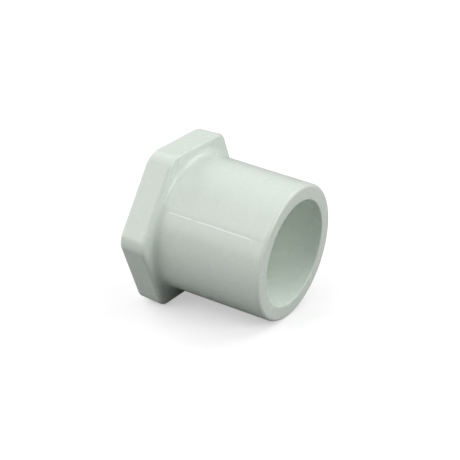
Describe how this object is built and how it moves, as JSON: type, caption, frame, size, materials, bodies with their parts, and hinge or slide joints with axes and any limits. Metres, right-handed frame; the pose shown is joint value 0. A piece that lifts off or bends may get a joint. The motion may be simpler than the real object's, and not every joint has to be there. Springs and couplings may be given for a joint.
{
  "type": "reducer bushing",
  "caption": "White plastic solvent-weld reducer bushing: a round spigot for a larger fitting, a hexagonal head, and a socket inside it for a smaller pipe.",
  "frame": {"origin": "on the waterway's axis, in the plane of the head's shoulder, which stops against the larger fitting's rim", "axes": "+X along the waterway from the hexagonal head to the end of the spigot; +Z normal to one flat of the head, up when the fitting lies on the opposite flat; Y through two corners of the head"},
  "size_m": [0.0347, 0.043, 0.0384],
  "materials": {
    "white_pvc": "semi-gloss injection-moulded white PVC, slightly greenish"
  },
  "bodies": {
    "root": {"reducer_bushing": "white_pvc"}
  },
  "joints": []
}
